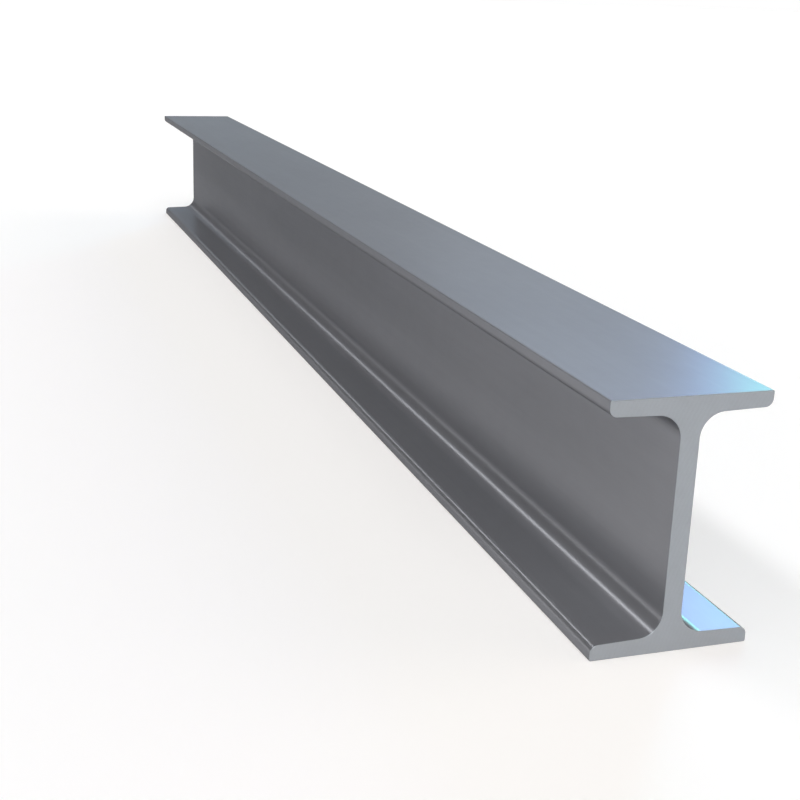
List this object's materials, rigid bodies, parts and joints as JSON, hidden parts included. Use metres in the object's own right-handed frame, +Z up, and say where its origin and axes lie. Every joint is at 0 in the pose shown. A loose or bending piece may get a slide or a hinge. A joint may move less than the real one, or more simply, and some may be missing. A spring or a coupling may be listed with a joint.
{
  "type": "steel i-beam",
  "caption": "Rolled steel I-beam: a web between two wide flanges with rounded roots and toes, sawn square at both ends.",
  "frame": {"origin": "middle of the bottom flange's underside, halfway along the beam", "axes": "+Y along the beam, +X across the flanges, +Z up along the web, from the bottom flange to the top one"},
  "size_m": [0.131, 2.012, 0.2],
  "materials": {
    "rolled_steel": "clean satin rolled steel with soft cool reflections, matt grey sawn ends"
  },
  "bodies": {
    "root": {"i_beam": "rolled_steel"}
  },
  "joints": []
}
